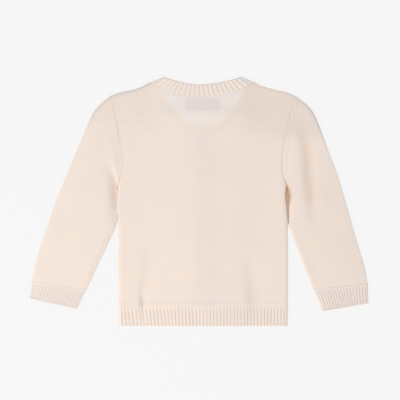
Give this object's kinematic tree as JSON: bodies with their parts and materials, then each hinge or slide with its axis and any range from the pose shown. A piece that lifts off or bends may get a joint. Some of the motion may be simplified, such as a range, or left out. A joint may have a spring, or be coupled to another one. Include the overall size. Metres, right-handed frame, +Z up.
{
  "type": "baby cardigan",
  "caption": "Knitted baby cardigan with ribbed neck, hem and cuffs, buttoned at the front and laid flat with its back up.",
  "frame": {"origin": "on the surface it lies on, under the middle of the whole outline", "axes": "+Z up out of the surface, +Y from the hem towards the neck, +X towards the wearer's right sleeve"},
  "size_m": [0.476, 0.3494, 0.0109],
  "materials": {
    "knit": "fine matt cotton knit in very pale ivory pink",
    "rib": "matt cotton rib in the same yarn",
    "button": "soft pearly gloss",
    "label": "smooth woven tape, blank"
  },
  "bodies": {
    "root": {"back_panel": "knit", "front_left": "knit", "front_right": "knit", "sleeve_left": "knit", "sleeve_right": "knit", "back_hem_rib": "rib", "front_left_hem_rib": "rib", "front_right_hem_rib": "rib", "cuff_left": "rib", "cuff_right": "rib", "neckband": "rib", "button_band": "rib", "buttonhole_band": "rib", "button_1": "button", "button_2": "button", "button_3": "button", "button_4": "button", "button_5": "button", "neck_label": "label"}
  },
  "joints": []
}
